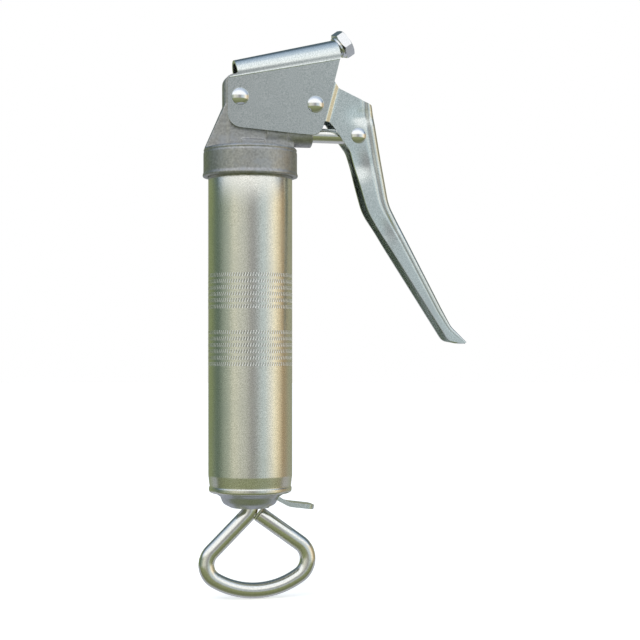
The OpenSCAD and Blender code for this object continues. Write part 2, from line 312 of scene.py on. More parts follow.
def noise(tree, size):
    """Noise whose grains are about size millimetres across."""
    where = node(tree, "ShaderNodeTexCoord").outputs["Object"]
    return node(
        tree,
        "ShaderNodeTexNoise",
        {"Vector": where, "Scale": 1 / (size * MM), "Detail": 3.0, "Roughness": 0.6},
    ).outputs["Fac"]


def ramp(tree, value, low, high, to_low=0.0, to_high=1.0):
    """Maps low..high of a value to another range, softly and clamped."""
    return node(
        tree,
        "ShaderNodeMapRange",
        {"Value": value, "From Min": low, "From Max": high, "To Min": to_low, "To Max": to_high},
        interpolation_type="SMOOTHSTEP",
    ).outputs[0]


def blend_colour(tree, factor, a, b):
    """From colour a to colour b by a factor, each of them a value or a socket."""
    made = node(tree, "ShaderNodeMix", data_type="RGBA", blend_type="MIX", clamp_factor=True)
    # The mix node's sockets for colours come after those for numbers and vectors
    for socket, value in ((made.inputs[0], factor), (made.inputs[6], a), (made.inputs[7], b)):
        if isinstance(value, bpy.types.NodeSocket):
            tree.links.new(value, socket)
        elif isinstance(value, (int, float)):
            socket.default_value = value
        else:
            socket.default_value = (*value, 1)
    return made.outputs[2]


def math_node(tree, operation, a, b=0.0):
    """The result of a Math node on two values or sockets."""
    return node(tree, "ShaderNodeMath", {0: a, 1: b}, operation=operation).outputs[0]


def metal(name, dark, light, rough, grain, bump, blotch=14.0, blotch_colour=None, metallic=1.0):
    """Plated or cast metal: fine grain in its colour, roughness and relief, and broad faint blotches.

    rough is a pair of roughness values. grain, blotch and bump are millimetres: the sizes of the speckle
    and of the blotches, and the speckle's height.
    """
    material, tree, shader = new_material(name)
    fine = noise(tree, grain)
    broad = noise(tree, blotch)
    colour = blend_colour(tree, ramp(tree, fine, 0.3, 0.7), dark, light)
    if blotch_colour:
        colour = blend_colour(tree, ramp(tree, broad, 0.45, 0.75, 0.0, 0.7), colour, blotch_colour)
    tree.links.new(colour, shader.inputs["Base Color"])
    tree.links.new(ramp(tree, broad, 0.25, 0.75, *rough), shader.inputs["Roughness"])
    shader.inputs["Metallic"].default_value = metallic
    relief = node(
        tree, "ShaderNodeBump", {"Height": fine, "Strength": 1.0, "Distance": bump * MM}
    )
    tree.links.new(relief.outputs[0], shader.inputs["Normal"])
    return material


def plain_rubber():
    """Matt black nitrile rubber with a faint bloom."""
    material, tree, shader = new_material("nitrile_rubber")
    fine = noise(tree, 0.6)
    colour = blend_colour(tree, fine, (0.012, 0.012, 0.013), (0.03, 0.03, 0.032))
    tree.links.new(colour, shader.inputs["Base Color"])
    tree.links.new(ramp(tree, fine, 0.2, 0.8, 0.5, 0.7), shader.inputs["Roughness"])
    relief = node(tree, "ShaderNodeBump", {"Height": fine, "Strength": 1.0, "Distance": 0.03 * MM})
    tree.links.new(relief.outputs[0], shader.inputs["Normal"])
    return material


BARREL_ZINC = metal("barrel_zinc", (0.60, 0.60, 0.54), (0.92, 0.91, 0.84), (0.17, 0.26), 0.6, 0.035,
                    blotch=30.0, blotch_colour=(0.70, 0.71, 0.66))
# Painted shade for the hollows of the knurl's dashes and a painted highlight for their flanks, put on the
# faces by mark_dashes
KNURL_PAINTED_SHADE = metal("knurl_painted_shade", (0.13, 0.14, 0.12), (0.22, 0.23, 0.20), (0.3, 0.4), 0.5, 0.01,
                    blotch=20.0)
KNURL_PAINTED_HIGHLIGHT = metal("knurl_painted_highlight", (0.90, 0.90, 0.88), (0.96, 0.96, 0.94), (0.34, 0.44), 0.5, 0.01,
                    blotch=20.0, metallic=0.5)
SATIN_ZINC = metal("satin_zinc", (0.55, 0.60, 0.58), (0.85, 0.88, 0.86), (0.15, 0.22), 0.7, 0.012,
                   blotch=22.0, blotch_colour=(0.66, 0.70, 0.69))
PART_ZINC = metal("zinc_plated_steel", (0.62, 0.64, 0.65), (0.78, 0.80, 0.81), (0.2, 0.3), 0.8, 0.012,
                  blotch=12.0)
CAP_ZINC = metal("dull_zinc_plate", (0.52, 0.54, 0.57), (0.66, 0.68, 0.71), (0.36, 0.46), 0.9, 0.02,
                 blotch=9.0)
DIE_CAST = metal("die_cast_zinc", (0.36, 0.36, 0.355), (0.52, 0.52, 0.51), (0.42, 0.55), 1.6, 0.06,
                 blotch=7.0, blotch_colour=(0.50, 0.52, 0.56))
BRIGHT_ROD = metal("bright_zinc_rod", (0.76, 0.755, 0.70), (0.86, 0.855, 0.81), (0.11, 0.2), 1.2, 0.006,
                   blotch=16.0)
BRIGHT_STEEL = metal("bright_steel", (0.74, 0.75, 0.76), (0.84, 0.85, 0.86), (0.12, 0.2), 0.7, 0.004,
                     blotch=8.0)
POLISHED = metal("polished_rivet", (0.82, 0.82, 0.82), (0.9, 0.9, 0.9), (0.06, 0.12), 0.8, 0.003,
                 blotch=5.0)
SPRING_STEEL = metal("spring_steel", (0.30, 0.30, 0.32), (0.44, 0.44, 0.46), (0.25, 0.38), 0.6, 0.01,
                     blotch=6.0)
BRASS = metal("brass", (0.62, 0.44, 0.16), (0.76, 0.57, 0.26), (0.2, 0.32), 0.5, 0.008, blotch=5.0)
RUBBER = plain_rubber()


def piece(obj, body, cad_node, material):
    """Gives a finished mesh its material and body, and hides the CAD node that it takes the place of."""
    obj.data.materials.clear()
    obj.data.materials.append(material)
    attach(obj, body)
    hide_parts(cad_node)
    return obj


# ---- Head casting ----
def head_casting():
    """The CAD casting with a pad added, remeshed for cast fillets, with a groove under the skirt's rim."""
    bm = bmesh.new()
    bm.from_mesh(frame["nodes"]["head_casting"].data)
    pad_front, pad_back = -7.5, -6.0
    pad = [(-7.1, 233.5), (10.0, 233.5), (8.2, 240.2), (-7.1, 240.2)]
    corners = [bm.verts.new(Vector((x, y, z)) * MM) for y in (pad_front, pad_back) for x, z in pad]
    front, back = corners[:4], corners[4:]
    bm.faces.new(front)
    bm.faces.new(reversed(back))
    for i in range(4):
        k = (i + 1) % 4
        bm.faces.new((front[k], front[i], back[i], back[k]))
    bmesh.ops.recalc_face_normals(bm, faces=bm.faces)
    obj = from_bmesh("casting", bm)
    modifier(obj, "REMESH", mode="VOXEL", voxel_size=0.5 * MM, use_smooth_shade=True)
    modifier(obj, "SMOOTH", factor=0.5, iterations=5)
    apply_modifiers(obj)
    wall_r, groove_z, groove_half, groove_depth = 30.6, 232.2, 0.6, 0.45
    for vertex in obj.data.vertices:
        x, y, z = vertex.co / MM
        r = math.hypot(x, y)
        if r > wall_r and abs(z - groove_z) < 4:
            shift = 1 - groove_depth * math.exp(-(((z - groove_z) / groove_half) ** 2)) / r
            vertex.co.x *= shift
            vertex.co.y *= shift
    return piece(obj, "gun", "head_casting", DIE_CAST)


# ---- Barrel ----
def knurl_pattern(angle, z):
    """The nearest ring, the height off its middle in half ring heights, and the phase of its dashes."""
    between = sum(KNURL_TOPS) / 2 - KNURL_PITCH
    top = np.where(z > between, *KNURL_TOPS)
    ring = np.clip(np.round((top - z) / KNURL_PITCH), 0, KNURL_RINGS - 1)
    off = (z - top + ring * KNURL_PITCH) / KNURL_HALF
    return ring, off, KNURL_COUNT * angle - KNURL_SLANT * off


def knurl(angle, z):
    """How far the barrel's surface is pressed in, the last ring of the lower band more faintly."""
    swing = 0.05
    ring, off, phase = knurl_pattern(angle, z)
    faint = np.where((ring == KNURL_RINGS - 1) & (z < KNURL_TOPS[1]), 0.55, 1.0)
    return swing * faint * np.clip(1 - off**2, 0, 1) * np.cos(phase)


def mark_dashes(obj):
    """Gives each dash of the knurling painted shade in its hollow and a painted highlight on its flank."""
    hollow, flank, ring_share = 0.8, 2.3, 0.85
    obj.data.materials.append(KNURL_PAINTED_SHADE)
    obj.data.materials.append(KNURL_PAINTED_HIGHLIGHT)
    for face in obj.data.polygons:
        x, y, z = face.center / MM
        _, off, phase = knurl_pattern(math.atan2(y, x), z)
        if math.hypot(x, y) < BARREL_R - 0.6 or abs(off) > ring_share:
            continue
        phase = math.remainder(phase, 2 * math.pi)
        # Painted shade in the dash's hollow, painted highlight on its flank
        if abs(phase) < hollow:
            face.material_index = 1
        elif hollow < phase < flank:
            face.material_index = 2


def barrel():
    """The rolled tube with its lip, necked foot and two bands of knurled rings."""
    sides = KNURL_COUNT * 8
    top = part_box("barrel")[1].z / MM
    bore_r = BARREL_R - BARREL_WALL
    foot = rounded(
        [
            (bore_r, 1.6, 0.2),
            (LIP_R, 1.9, 1.6),
            (LIP_R, 5.0, 1.4),
            (BARREL_R - 0.9, 5.5, 0.5),
            (BARREL_R - 0.7, 7.2, 2),
            (BARREL_R, 13, 9),
            (BARREL_R, 60, 0),
        ],
        6,
        closed=False,
    )
    plain = [70.0, 78.0, 116.0, 119.5, 155.0, 165.0, 190.0, top - 0.4]
    ring_rows = [
        band - ring * KNURL_PITCH + side * off
        for band in KNURL_TOPS
        for ring in range(KNURL_RINGS)
        for off in (0.25, 0.75, 1.2, 1.7)
        for side in (-1, 1)
    ]
    outer = [*map(tuple, foot), *[(BARREL_R, z) for z in sorted(plain + ring_rows)]]
    inner = [(BARREL_R - 0.3, top), *[(bore_r, z) for z in (top, 150, 60, 4)]]
    profile = np.array(outer + inner)
    angles = np.arange(sides) * 2 * math.pi / sides
    radius = np.repeat(profile[:, :1], sides, 1)
    shown = slice(0, len(outer))
    radius[shown] -= knurl(angles[None, :], profile[shown, 1][:, None])
    points = np.stack(
        [radius * np.cos(angles), radius * np.sin(angles), np.repeat(profile[:, 1:], sides, 1)], 2
    ).reshape(-1, 3)
    obj = add_mesh("barrel_tube", points, grid_faces(len(profile), sides, True, True))
    piece(obj, "gun", "barrel", BARREL_ZINC)
    mark_dashes(obj)
    return obj


# ---- End cap, latch ----
def end_cap():
    """The pressed cap: a plug inside the barrel, a rim under its lip, and a bowl with the latch's slot."""
    plug_r = BARREL_R - BARREL_WALL - 0.05
    profile = rounded(
        [
            (plug_r, PLUG_TOP, 0.4),
            (plug_r, 1.7, 0.3),
            (26.4, 1.2, 0.6),
            (23.4, 0.6, 1.2),
            (20.4, -1.4, 1.4),
            (18.6, -6.2, 5.0),
            (13.0, -9.1, 3.5),
            (7.6, -9.1, 0.5),
            (7.6, -6.8, 0.4),
            (11.8, -6.8, 4.0),
            (17.2, -4.4, 4.0),
            (18.8, -0.2, 1.5),
            (21.6, 0.6, 1.5),
            (21.6, PLUG_TOP, 0.4),
        ],
        6,
    )
    obj = lathe("cap", profile, 160, closed=True)
    bm = bmesh.new()
    slot_centre, slot_size = Vector((20.5, 0, -3.85)), Vector((21, 21.2, 10.3))
    slot = Matrix.LocRotScale(slot_centre * MM, None, slot_size * MM)
    bmesh.ops.create_cube(bm, size=1, matrix=slot)
    cutter = from_bmesh("slot_cutter", bm)
    modifier(obj, "BOOLEAN", object=cutter, operation="DIFFERENCE", solver="EXACT")
    apply_modifiers(obj)
    bpy.data.objects.remove(cutter)
    smooth_by_angle(obj, 40)
    round_edges(obj, 0.3, 2, 50)
    return piece(obj, "gun", "end_cap", CAP_ZINC)


def rod_latch():
    """The sprung plate that grips the rod, its free end a thumb tab with rounded corners."""
    length, half_width = 60.2, 10.0
    outline = rounded(
        [(0, -half_width, 1), (length, -half_width, 5), (length, half_width, 5), (0, half_width, 1)]
    )
    hole_x = -LATCH_PIVOT[0] / math.cos(math.radians(LATCH_TILT))
    hole = arc((hole_x, 0), ROD_R + 0.55, 0, 360, 48)[:-1]
    bm = bmesh.new()
    loops = []
    for ring in (outline, hole):
        verts = [bm.verts.new((x * MM, y * MM, -LATCH_T / 2 * MM)) for x, y in ring]
        loops += [bm.edges.new((verts[i], verts[(i + 1) % len(verts)])) for i in range(len(verts))]
    bmesh.ops.triangle_fill(bm, use_beauty=True, use_dissolve=True, edges=loops)
    for x in range(26, 60, 2):
        whole = bm.verts[:] + bm.edges[:] + bm.faces[:]
        bmesh.ops.bisect_plane(bm, geom=whole, plane_co=(x * MM, 0, 0), plane_no=(1, 0, 0))
    made = bmesh.ops.extrude_face_region(bm, geom=bm.faces[:])
    raised = [v for v in made["geom"] if isinstance(v, bmesh.types.BMVert)]
    bmesh.ops.translate(bm, verts=raised, vec=(0, 0, LATCH_T * MM))
    bmesh.ops.recalc_face_normals(bm, faces=bm.faces)
    obj = smooth_by_angle(from_bmesh("latch_plate", bm), 40)
    tilt = Matrix.Rotation(math.radians(LATCH_TILT), 4, "Y")
    obj.data.transform(Matrix.Translation(Vector((LATCH_PIVOT[0], 0, LATCH_PIVOT[1])) * MM) @ tilt)
    # The tab steps down beside the cap, and beyond the step it slopes less than the plate
    step_from, step_run, step_down = 15, 11, 3.2
    flatter_from, flatter = 28, 0.07
    for vertex in obj.data.vertices:
        x = vertex.co.x / MM
        down = step_down * float(smoothstep((x - step_from) / step_run))
        vertex.co.z += (max(0.0, x - flatter_from) * flatter - down) * MM
    round_edges(obj, 0.35, 3, 50)
    return piece(obj, "latch", "rod_latch", SATIN_ZINC)


# ---- Yoke link ----
def fold_point(x, y, z):
    """A point of the fold's own frame, X along its axis, in the gun's frame."""
    a = math.radians(FOLD_TILT)
    return (
        FOLD_START[0] + x * math.cos(a) - z * math.sin(a),
        y,
        FOLD_START[1] + x * math.sin(a) + z * math.cos(a),
    )


def in_fold(x, z):
    """A point of the gun's XZ plane in the fold's own frame."""
    a = math.radians(FOLD_TILT)
    dx, dz = x - FOLD_START[0], z - FOLD_START[1]
    return dx * math.cos(a) + dz * math.sin(a), dz * math.cos(a) - dx * math.sin(a)


def split_part(outline, z, above):
    """The part of a closed outline above or below a height."""
    part = []
    for i in range(len(outline)):
        a, b = outline[i], outline[(i + 1) % len(outline)]
        if (a[1] >= z) == above:
            part.append(a)
        if (a[1] >= z) != (b[1] >= z):
            t = (z - a[1]) / (b[1] - a[1])
            part.append(a + t * (b - a))
    return part


def yoke_sheet():
    """The sheet's outer face: two diverging cheeks below a half-cone fold, a pressed line under the fold."""
    taper = (FOLD_R_LEVER - FOLD_R_HEAD) / FOLD_LEN
    line_z, line_half, line_out = -2.4, 0.5, 0.25
    end = FOLD_LEN + FOLD_OVERHANG
    outline = rounded(
        [
            (*in_fold(-17, 280.5), 4),
            (*in_fold(-17, 248.6), 9.5),
            (*in_fold(30.7, 244.6), 12),
            (*in_fold(46.8, 243.6), 8.5),
            (end, 0, 0),
            (0, 0, 0),
            (-2.5, -1.2, 2),
        ],
        8,
    )
    around = 40
    points, faces = [], []

    def cheek_point(x, z, side):
        out = FOLD_R_HEAD + x * taper + line_out * max(0.0, 1 - abs(z - line_z) / line_half)
        return fold_point(x, side * out, z)

    for side in (-1, 1):
        rest = outline
        for cut in (line_z + line_half, line_z, line_z - line_half, -math.inf):
            first = len(points)
            points += [cheek_point(x, z, side) for x, z in split_part(rest, cut, True)]
            faces.append(tuple(range(first, len(points))))
            rest = split_part(rest, cut, False)
    first = len(points)
    for i in range(around + 1):
        a = math.pi * i / around
        for x in (0.0, end):
            r = FOLD_R_HEAD + x * taper
            points.append(fold_point(x, -r * math.cos(a), r * math.sin(a)))
    faces += [tuple(first + k for k in f) for f in grid_faces(around + 1, 2)]
    return add_mesh("yoke", points, faces, 1e-3)


def yoke_link():
    """The folded sheet link, its fold cut off square just before the outlet."""
    obj = yoke_sheet()
    bm = bmesh.new()
    bm.from_mesh(obj.data)
    face_away(bm, Vector(fold_point(30, 0, -15)) * MM, bm.faces)
    way = Vector((math.cos(math.radians(OUTLET_TILT)), 0, math.sin(math.radians(OUTLET_TILT))))
    gap = 2.4
    stop = (Vector((OUTLET[0], 0, OUTLET[1])) - way * gap) * MM
    whole = bm.verts[:] + bm.edges[:] + bm.faces[:]
    bmesh.ops.bisect_plane(bm, geom=whole, plane_co=stop, plane_no=way, clear_outer=True)
    bm.to_mesh(obj.data)
    bm.free()
    modifier(obj, "SOLIDIFY", thickness=SHEET * MM, offset=-1, use_even_offset=True)
    round_edges(obj, 0.5, 3, 50)
    return piece(obj, "link", "yoke_link", SATIN_ZINC)


def cheek_y(pin):
    """The outer face of the yoke's cheek beside a pin."""
    taper = math.asin((FOLD_R_LEVER - FOLD_R_HEAD) / FOLD_LEN)
    return FOLD_R_HEAD + in_fold(*pin)[0] * math.tan(taper)


# ---- Rivets ----
def domed_rivet(name, pin, shank_r, under_heads, head_r, head_h, body, cad_node):
    """A rivet along Y with a polished dome at each end and a short upright edge under each dome.

    under_heads is the distance between its two heads.
    """
    edge = 0.35
    dome_h = head_h - edge
    ball = (head_r**2 + dome_h**2) / (2 * dome_h)
    reach = math.asin(head_r / ball)
    half = under_heads / 2
    dome = [
        (ball * math.sin(a), half + edge + dome_h - ball + ball * math.cos(a))
        for a in np.linspace(0, reach, 18)
    ]
    top = [*dome, (head_r + 0.05, half + edge * 0.5), (head_r, half), (shank_r, half)]
    profile = top + [(r, -z) for r, z in reversed(top)]
    obj = place(lathe(name, profile, 72), (pin[0], 0, pin[1]), (0, -1, 0))
    smooth_by_angle(obj, 40)
    return piece(obj, body, cad_node, POLISHED)


# ---- Lever ----
# Corners in the XZ plane: the line beside the yoke's end, between the flange and its ear, and the spine's top
EAR_TOP = (60.3, 276.8)
EAR_LOW = (54.0, 253.6)
CREST = (84.2, 266.0)
# The grid's rows: those of the head lean with its top edge, and turn square to the spine by the neck
HEAD_ROWS = 14
ARM_ROWS = 110
NECK_AT = 13.6
# The head's upper and lower edges, from the ear's left end
HEAD_TOP = rounded(
    [(33.4, 264.4, 0), (33.4, 274, 9), (54, 284, 5), (*EAR_TOP, 4), (*CREST, 0)], 10, closed=False
)
HEAD_LOW = rounded([(33.4, 264.0, 0), (34, 254.4, 9), (*EAR_LOW, 0)], 10, closed=False)
# The flanges' distance from the middle plane, and how much more it gets down the arm
FLANGE_OUT = 7.9
WIDENING = 1.1
WIDEN_TOP = 236
WIDEN_RUN = 46
# Soft pressings in the flanges: the middle, the reach each way and the depth
DISHES = [((76.5, 258.5), (7, 5.4), 1.15), ((74.5, 225.5), (9, 9), 1.45), ((91, 180), (9, 8.5), 1.0)]


def chain(outline):
    """An open outline with rounded corners as points and their distances along it."""
    points = rounded(outline, 14, closed=False)
    steps_long = np.linalg.norm(np.diff(points, axis=0), axis=1)
    return points, np.concatenate([[0], np.cumsum(steps_long)])


def along_chain(points, distance, at):
    """The chain's points at given distances along it."""
    return np.array([np.interp(at, distance, points[:, 0]), np.interp(at, distance, points[:, 1])]).T


def spine_rows():
    """For each row of the grid, its point on the spine, its way inward and its distance down the spine."""
    spine, spine_s = chain([(*CREST, 0), (95.9, 198, 35), (140.7, 114, 14), (151.5, 103.4, 0)])
    at = np.concatenate(
        [np.linspace(0, NECK_AT, HEAD_ROWS, endpoint=False), np.linspace(NECK_AT, spine_s[-1], ARM_ROWS)]
    )
    ahead = along_chain(spine, spine_s, np.minimum(at + 0.5, spine_s[-1]))
    ahead = ahead - along_chain(spine, spine_s, np.maximum(at - 0.5, 0))
    ahead /= np.linalg.norm(ahead, axis=1)[:, None]
    square = np.stack([ahead[:, 1], -ahead[:, 0]], 1)
    turn = smoothstep(at / NECK_AT)[:, None]
    inward = unit(np.subtract(EAR_TOP, CREST)) * (1 - turn) + square * turn
    inward /= np.linalg.norm(inward, axis=1)[:, None]
    return along_chain(spine, spine_s, at), inward, at


def flange_grid(inner, at):
    """The flat side from the bend beside the spine to its free edge, or to the ear on the head's rows."""
    edge, edge_s = chain(
        [(*EAR_LOW, 0), (68.3, 234.5, 12), (80.5, 193, 40), (138.8, 104.2, 7), (149.2, 102.4, 0)]
    )
    share = np.clip((at - NECK_AT) / (at[-1] - NECK_AT), 0, 1)
    outer = along_chain(edge, edge_s, share * edge_s[-1])
    columns = np.linspace(0, 1, 25) ** 1.35
    flange = inner[:, None] + columns[None, :, None] * (outer - inner)[:, None]
    top_x = inner[0][0] + columns * (EAR_TOP[0] - inner[0][0])
    top_row = np.stack([top_x, np.interp(top_x, *HEAD_TOP.T)], 1)
    for i in range(HEAD_ROWS):
        flange[i] = top_row + (flange[HEAD_ROWS] - top_row) * i / HEAD_ROWS
    return flange


def ear_grid(flange):
    """The ear inside the yoke, with its first columns close together for the ramp beside the yoke's end."""
    left = 33.5
    ramp_columns = np.array([0, 0.4, 0.65, 1.2, 1.8, 2.4, 3.0, 3.6, 4.2, 5.4])
    rows = []
    for share in np.arange(HEAD_ROWS + 1) / HEAD_ROWS:
        start = EAR_TOP[0] + (EAR_LOW[0] - EAR_TOP[0]) * share
        last = start - ramp_columns[-1]
        rest = last - (last - left) * np.sin(np.linspace(0, 1, 9)[1:] * math.pi / 2)
        x = np.concatenate([start - ramp_columns, rest])
        high, low = np.interp(x, *HEAD_TOP.T), np.interp(x, *HEAD_LOW.T)
        rows.append(np.stack([x, high + (low - high) * share], 1))
    ear = np.array(rows)
    ear[:, 0] = flange[: HEAD_ROWS + 1, -1]
    return ear


def stand_out(xz):
    """How far the outer face is from the middle plane: a ramp up to the ears, and soft pressings."""
    x, z = xz[..., 0], xz[..., 1]
    lean = (EAR_TOP[0] - EAR_LOW[0]) / (EAR_TOP[1] - EAR_LOW[1])
    past = (x - EAR_LOW[0] - (z - EAR_LOW[1]) * lean) * math.cos(math.atan(lean))
    head = z > EAR_LOW[1] - 3.6
    ramp_start, ramp_run, ramp_slope = 0.4, 3.2, 0.64
    ear_step_start, ear_step = 4, 0.95
    out = FLANGE_OUT + ramp_slope * np.clip(-ramp_start - past, 0, ramp_run) * head
    out = out - ear_step * smoothstep((-past - ear_step_start) / 5) * head
    out = out + WIDENING * smoothstep((WIDEN_TOP - z) / WIDEN_RUN)
    dish = sum(
        depth * np.exp(-(((x - middle[0]) / reach[0]) ** 2) - ((z - middle[1]) / reach[1]) ** 2)
        for middle, reach, depth in DISHES
    )
    return out - dish * smoothstep((past - 1) / 5)


def lever_sheet():
    """The sheet's outer face: each side's flange, ear and bend, and the web between the bends."""
    spine, inward, at = spine_rows()
    bend_r = np.interp(at, [0, 30, 150, at[-1]], [4.0, 4.0, 3.2, 0.9])[:, None]
    inner = spine + inward * bend_r
    flange = flange_grid(inner, at)
    ear = ear_grid(flange)
    from_bend = np.linalg.norm(flange - inner[:, None], axis=2)
    groove_at = np.interp(at, [0, 60, 90, 150], [2.6, 2.4, 1.5, 1.0])[:, None]
    groove_half = np.interp(at, [0, 60, 90, 150], [1.7, 1.5, 0.8, 0.6])[:, None]
    groove = np.interp(at, [0, 50, 90, 150, at[-1]], [0.5, 0.5, 0.22, 0.16, 0.0])[:, None]
    groove = groove * np.exp(-(((from_bend - groove_at) / groove_half) ** 2)) * np.clip(from_bend / 0.5, 0, 1)
    angles = np.linspace(0, math.pi / 2, 8)
    bend = spine[:, None] + inward[:, None] * (bend_r * (1 - np.sin(angles)))[..., None]
    edge_half = stand_out(inner)[:, None]
    across = np.linspace(-1, 1, 5)
    points, faces = [], []

    def add_grid(xz, y):
        first = len(points)
        points.extend(np.stack([xz[..., 0], y, xz[..., 1]], 2).reshape(-1, 3))
        faces.extend(tuple(first + k for k in f) for f in grid_faces(*y.shape))

    for side in (-1, 1):
        add_grid(flange, side * (stand_out(flange) - groove))
        add_grid(ear, side * stand_out(ear))
        add_grid(bend, side * (edge_half - bend_r * (1 - np.cos(angles))))
    add_grid(np.repeat(spine[:, None], len(across), 1), across * (edge_half - bend_r))
    return add_mesh("lever_channel", points, faces, 1e-3)


def lever():
    """The channel lever: a web along the spine, rounded into two flanges that widen to the fulcrum's ears."""
    obj = lever_sheet()
    bm = bmesh.new()
    bm.from_mesh(obj.data)
    sides = [f for f in bm.faces if abs(f.normal.y) > 0.9 and f.calc_center_median().z > 230 * MM]
    face_away(bm, Vector((70, 0, PUMP_Z)) * MM, sides)
    bm.to_mesh(obj.data)
    bm.free()
    modifier(obj, "SOLIDIFY", thickness=LEVER_SHEET * MM, offset=-1, use_even_offset=False)
    round_edges(obj, 0.45, 3, 60)
    return piece(obj, "lever", "lever", SATIN_ZINC)


# ---- Pull rod ----
def loop_line():
    """The centreline of the loop handle in the XZ plane, from the neck to the cut end beside it."""
    neck_r, left_r, right_r, bottom_r = 8.8, 12.3, 13.5, 53.5
    left_c, right_c, bottom_c = (-17.8, -47.4), (26.4, -45.1), (3.6, -12.2)
    left_arm, right_arm, right_arm_len = 45, 36, 35.2
    left_touch = math.degrees(math.atan2(left_c[1] - bottom_c[1], left_c[0] - bottom_c[0])) + 360
    right_touch = math.degrees(math.atan2(right_c[1] - bottom_c[1], right_c[0] - bottom_c[0]))
    left_top = arc(left_c, left_r, 90 + left_arm, 90 + left_arm, 0)[0]
    right_top = arc(right_c, right_r, 90 - right_arm, 90 - right_arm, 0)[0]
    neck_top = left_top[1] - left_top[0] + neck_r * math.tan(math.radians(left_arm / 2))
    away = math.radians(180 - right_arm)
    line = arc((-neck_r, neck_top), neck_r, 0, -left_arm, 14)
    line += arc(left_c, left_r, 90 + left_arm, left_touch, 34)
    line += arc(bottom_c, bottom_r, left_touch, right_touch + 360, 22)[1:]
    line += arc(right_c, right_r, right_touch, 90 - right_arm, 34)[1:]
    for far in (right_arm_len - 0.7, right_arm_len - 0.2, right_arm_len):
        line.append((right_top[0] + far * math.cos(away), right_top[1] + far * math.sin(away)))
    return line


def pull_rod():
    """The follower rod with its thinner stud on top, and the loop handle with its cut end chamfered."""
    line = loop_line()
    stud_top, chamfer = FOLLOWER_Z + 14, 0.5
    straight = [
        (stud_top, STUD_R - chamfer),
        (stud_top - chamfer, STUD_R),
        (FOLLOWER_Z + 0.01, STUD_R),
        (FOLLOWER_Z, ROD_R - chamfer),
        (FOLLOWER_Z - chamfer, ROD_R),
        (120, ROD_R),
        (40, ROD_R),
        (8, ROD_R),
    ]
    path = [(0, 0, z) for z, _ in straight] + [(x, 0, z) for x, z in line]
    radii = [r for _, r in straight] + [ROD_R] * (len(line) - 2) + [ROD_R - 0.2, ROD_R - 0.7]
    obj = smooth_by_angle(sweep("rod_and_loop", path, radii, 48), 40)
    return piece(obj, "pull_rod", "pull_rod", BRIGHT_ROD)


# ---- Plunger ----
def joined(name, parts):
    """One mesh object holding the meshes of several."""
    bm = bmesh.new()
    for part in parts:
        bm.from_mesh(part.data)
        bpy.data.objects.remove(part)
    return from_bmesh(name, bm)


def plunger():
    """The stepped rod with its collar, and the eye round the plunger's rivet."""
    tip_x, tip_r, rod_r = 12, 4, 5
    collar_r, collar_start, collar_end = 6.6, BOSS_X - 5.5, BOSS_X - 3.0
    eye_x, eye_bore_r, eye_r, eye_half = PLUNGER_PIN[0], 3.65, 6.5, 5
    rod_outline = [
        (0, tip_x, 0),
        (tip_r, tip_x, 0.5),
        (tip_r, collar_start, 0),
        (collar_r, collar_start, 0.4),
        (collar_r, collar_end, 0.4),
        (rod_r, collar_end, 0),
        (rod_r, eye_x - 5.2, 0),
        (0, eye_x - 5.2, 0),
    ]
    eye_outline = [
        (eye_bore_r, -eye_half, 0.3),
        (eye_r, -eye_half, 0.6),
        (eye_r, eye_half, 0.6),
        (eye_bore_r, eye_half, 0.3),
    ]
    rod = lathe("rod", rounded(rod_outline, 4, closed=False), 72)
    place(rod, (0, 0, PUMP_Z), (1, 0, 0))
    eye = lathe("eye", rounded(eye_outline, 4), 72, closed=True)
    place(eye, (eye_x, 0, PUMP_Z), (0, -1, 0))
    obj = smooth_by_angle(joined("plunger_rod", [rod, eye]), 35)
    return piece(obj, "plunger", "plunger", BRIGHT_ROD)


# ---- Outlet ----
def outlet_fitting():
    """The hexagon with both faces chamfered, its round neck and its open bore."""
    flats, thick, neck_len, neck_r, bore_r, turn = 17.4, 6.4, 2.0, 7.6, 4.3, -13.0
    sides = 6 * 24
    angles = np.arange(sides) * 2 * math.pi / sides
    from_flat = angles % (math.pi / 3) - math.pi / 6
    hexagon = flats / 2 / np.cos(from_flat)
    chamfer_r, slope = flats / 2 + 0.1, 0.62
    drop = np.maximum(0, hexagon - chamfer_r) * slope
    rows = [
        (np.full(sides, bore_r + 0.9), np.full(sides, thick)),
        (np.minimum(hexagon, chamfer_r), np.full(sides, thick)),
        (hexagon, thick - drop),
        (hexagon, drop * 0.7),
        (np.minimum(hexagon, chamfer_r + 0.3), np.zeros(sides)),
        (np.full(sides, neck_r + 0.5), np.zeros(sides)),
        (np.full(sides, neck_r), np.full(sides, -0.5)),
        (np.full(sides, neck_r), np.full(sides, 0.3 - neck_len)),
        (np.full(sides, neck_r - 0.3), np.full(sides, -neck_len)),
        (np.full(sides, bore_r), np.full(sides, -neck_len)),
        (np.full(sides, bore_r), np.full(sides, thick - 0.9)),
    ]
    points = np.concatenate(
        [np.stack([r * np.cos(angles), r * np.sin(angles), z], 1) for r, z in rows]
    )
    obj = add_mesh("outlet_hexagon", points, grid_faces(len(rows), sides, True, True))
    lean = Matrix.Rotation(math.radians(90 - OUTLET_TILT), 4, "Y")
    turned = Matrix.Rotation(math.radians(turn), 4, "Z")
    obj.data.transform(Matrix.Translation(Vector((OUTLET[0], 0, OUTLET[1])) * MM) @ lean @ turned)
    smooth_by_angle(obj, 22)
    return piece(obj, "gun", "outlet_fitting", BRIGHT_STEEL)


